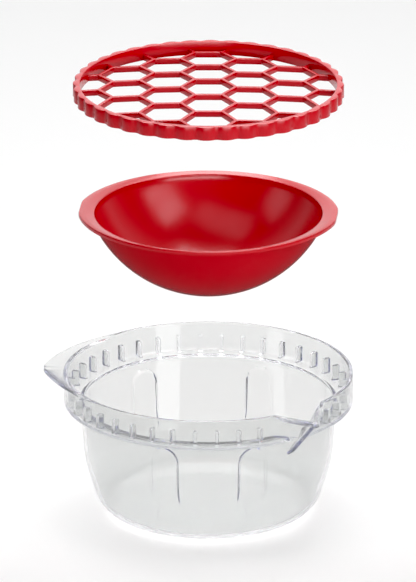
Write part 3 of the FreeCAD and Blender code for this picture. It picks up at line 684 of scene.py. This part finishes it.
dome = maths(tree, "MULTIPLY", fall, given["Rise"])
bent = wired(tree, "ShaderNodeCombineXYZ",
             X=maths(tree, "MULTIPLY", spot["X"], pull),
             Y=maths(tree, "MULTIPLY", spot["Y"], pull),
             Z=maths(tree, "ADD", maths(tree, "ADD", spot["Z"], dome), given["Height"]))
domed = wired(tree, "GeometryNodeSetPosition", Geometry=trim.outputs["Geometry"],
              Position=bent.outputs["Vector"])
given_out(tree, given, result, domed.outputs["Geometry"])
grown(floor_net, tree, {
    "Columns": CELL_COLUMNS, "Rows": CELL_ROWS, "Cell side": CELL_SIDE * MM, "Floor radius": FLOOR_END * MM,
    "Trim": FLOOR_TRIM * MM, "Rise": FLOOR_RISE * MM, "Height": GRID_SEAT * MM, "Material": red})
for part in (ring, floor_net):
    made_clean(part.data)
    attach(part, "grid")
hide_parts("honeycomb_grid")

# Studio: a pale floor that runs out of the picture, a room that is bright behind and dim in front, softboxes
# for the red pieces' gloss, and a table light for the floor and the jug that the lifted pieces don't shade.
bpy.ops.mesh.primitive_plane_add(size=6.0, location=(0, 0, -0.0002))
floor = bpy.context.object
floor.name = "studio_floor"
paper, tree, shader = new_finish("pale_paper")
shader.inputs["Base Color"].default_value = (0.93, 0.93, 0.93, 1)
shader.inputs["Roughness"].default_value = 0.9
floor.data.materials.append(paper)

world = bpy.data.worlds.new("studio")
bpy.context.scene.world = world
world.use_nodes = True
nodes = world.node_tree.nodes
links = world.node_tree.links
direction = nodes.new("ShaderNodeTexCoord")
split = nodes.new("ShaderNodeSeparateXYZ")
links.new(direction.outputs["Generated"], split.inputs["Vector"])
depth = nodes.new("ShaderNodeMapRange")
depth.interpolation_type = "SMOOTHSTEP"
depth.inputs["From Min"].default_value = 0.1
depth.inputs["From Max"].default_value = 0.85
depth.inputs["To Min"].default_value = 0.14
depth.inputs["To Max"].default_value = 0.9
links.new(split.outputs["Y"], depth.inputs["Value"])
links.new(depth.outputs["Result"], nodes["Background"].inputs["Strength"])
nodes["Background"].inputs["Color"].default_value = (1.0, 1.0, 1.0, 1)


def softbox(name, place, aim, width, height, power, lit):
    """A rectangular light that falls on some pieces only, and is shaded by the same ones."""
    lamp = bpy.data.lights.new(name, "AREA")
    lamp.shape = "RECTANGLE"
    lamp.size = width
    lamp.size_y = height
    lamp.energy = power
    box = bpy.data.objects.new(name, lamp)
    box.location = place
    box.rotation_euler = (Vector(aim) - Vector(place)).to_track_quat("-Z", "Y").to_euler()
    box.light_linking.receiver_collection = lit
    box.light_linking.blocker_collection = lit
    bpy.context.collection.objects.link(box)
    return box


def group(name, members):
    """A collection that a light can be kept to."""
    pieces = bpy.data.collections.new(name)
    for member in members:
        pieces.objects.link(member)
    return pieces


red_pieces = group("red_pieces", (bowl, ring, floor_net))
table_pieces = group("table_pieces", (floor, jug))
jug_only = group("jug_only", (jug,))
floor_only = group("floor_only", (floor,))
softbox("softbox_right", (0.63, -0.37, 0.84), (0, 0, 0.15), 0.5, 0.55, 4.5, red_pieces)
softbox("softbox_left", (-0.87, -0.05, 0.65), (0, 0, 0.15), 0.4, 0.42, 0.8, red_pieces)
softbox("softbox_back", (0.06, 0.5, 1.0), (0, 0, 0.15), 0.6, 0.5, 8.0, red_pieces)
softbox("softbox_top", (-0.2, -0.29, 1.09), (0, 0, 0.15), 0.95, 0.42, 1.6, red_pieces)
softbox("softbox_sheen", (0, 2.0, 0.9), (0, 0, 0.2), 3.0, 1.2, 7.0, red_pieces)
softbox("softbox_front", (0.3, -1.2, 0.38), (0, 0, 0.18), 1.4, 0.3, 10.0, red_pieces)

# A tent of white panels round the jug, so that every edge of the clear plastic has something pale to show
TENT_RADIUS = 1.5
TENT_MIDDLE = 0.7
for turn in (180, 225, 270, 315, 360):
    way = Vector((math.cos(math.radians(turn)), math.sin(math.radians(turn)), 0))
    place = way * TENT_RADIUS + Vector((0, 0, TENT_MIDDLE))
    softbox("jug_panel", place, (0, 0, TENT_MIDDLE), 1.24, 1.4, 4.6, jug_only)
softbox("jug_panel_top", (0, 0, TENT_RADIUS), (0, 0, 0), 2.6, 2.6, 18.0, jug_only)

# Two bright strips of the table behind the jug, which show through its back wall
STRIP_DISTANCE = 0.21
STRIP_LENGTH = 0.2
for name, x, width, power in (("table_strip_left", -0.0225, 0.0135, 0.0014),
                              ("table_strip_right", 0.0375, 0.009, 0.0006)):
    strip = softbox(name, (x, STRIP_DISTANCE, 0.0005), (x, STRIP_DISTANCE, 1.0), width, STRIP_LENGTH, power,
                    jug_only)
    strip.visible_camera = False

shade = softbox("shadow_light", (0, 0.2, 1.2), (0, 0, 0), 0.8, 0.8, 6.7, table_pieces)
shade.light_linking.blocker_collection = jug_only
table = softbox("table_light", (0, 0.62, 1.4), (0, 0.57, 0), 2.2, 2.2, 15.2, table_pieces)
table.light_linking.blocker_collection = floor_only

# A dark disc between bowl and jug keeps the bright table out of the bowl's gloss; only reflections see it,
# and its dim grey glow is a painted dark reflection
bpy.ops.mesh.primitive_circle_add(vertices=48, radius=0.105, fill_type="NGON", location=(0, 0, 0.112))
flag = bpy.context.object
flag.name = "painted_reflection_disc"
painted_reflection, tree, shader = new_finish("painted_dark_reflection")
tree.nodes.remove(shader)
# painted reflection: the disc's face glows dim grey and stands in for a dark surrounding in the gloss
dark = tree.nodes.new("ShaderNodeEmission")
dark.inputs["Color"].default_value = (0.15, 0.15, 0.15, 1)
clear_below = tree.nodes.new("ShaderNodeBsdfTransparent")
side = tree.nodes.new("ShaderNodeNewGeometry")
either = tree.nodes.new("ShaderNodeMixShader")
tree.links.new(side.outputs["Backfacing"], either.inputs["Fac"])
tree.links.new(dark.outputs["Emission"], either.inputs[1])
tree.links.new(clear_below.outputs["BSDF"], either.inputs[2])
tree.links.new(either.outputs["Shader"], tree.nodes["Material Output"].inputs["Surface"])
flag.data.materials.append(painted_reflection)
# painted reflection: the disc is hidden from camera, diffuse, transmission and shadow rays, so only
# reflections show it
flag.visible_camera = False
flag.visible_diffuse = False
flag.visible_transmission = False
flag.visible_shadow = False

# Camera: a long lens at the photograph's height of view, level with its middle
PIXEL = 0.517 * MM
IMAGE_HEIGHT = 582
ELEVATION = math.radians(20.0)
CAMERA_DISTANCE = 6.0
VIEW_MIDDLE = Vector((-0.0002, 0, 0.119))
LIGHT_BOUNCES = 32
BLACK_LEVEL = 0.02
camera_data = bpy.data.cameras.new("camera")
camera_data.sensor_width = 36.0
camera_data.lens = camera_data.sensor_width * CAMERA_DISTANCE / (IMAGE_HEIGHT * PIXEL)
camera_data.clip_end = 50
camera = bpy.data.objects.new("camera", camera_data)
back = Vector((0, -math.cos(ELEVATION), math.sin(ELEVATION)))
camera.location = VIEW_MIDDLE + back * CAMERA_DISTANCE
camera.rotation_euler = (-back).to_track_quat("-Z", "Y").to_euler()
bpy.context.collection.objects.link(camera)
scene = bpy.context.scene
scene.camera = camera
scene.view_settings.view_transform = "Standard"
scene.view_settings.use_curve_mapping = True
scene.view_settings.curve_mapping.black_level = (BLACK_LEVEL, BLACK_LEVEL, BLACK_LEVEL)
scene.cycles.max_bounces = LIGHT_BOUNCES
scene.cycles.glossy_bounces = LIGHT_BOUNCES
scene.cycles.transmission_bounces = LIGHT_BOUNCES
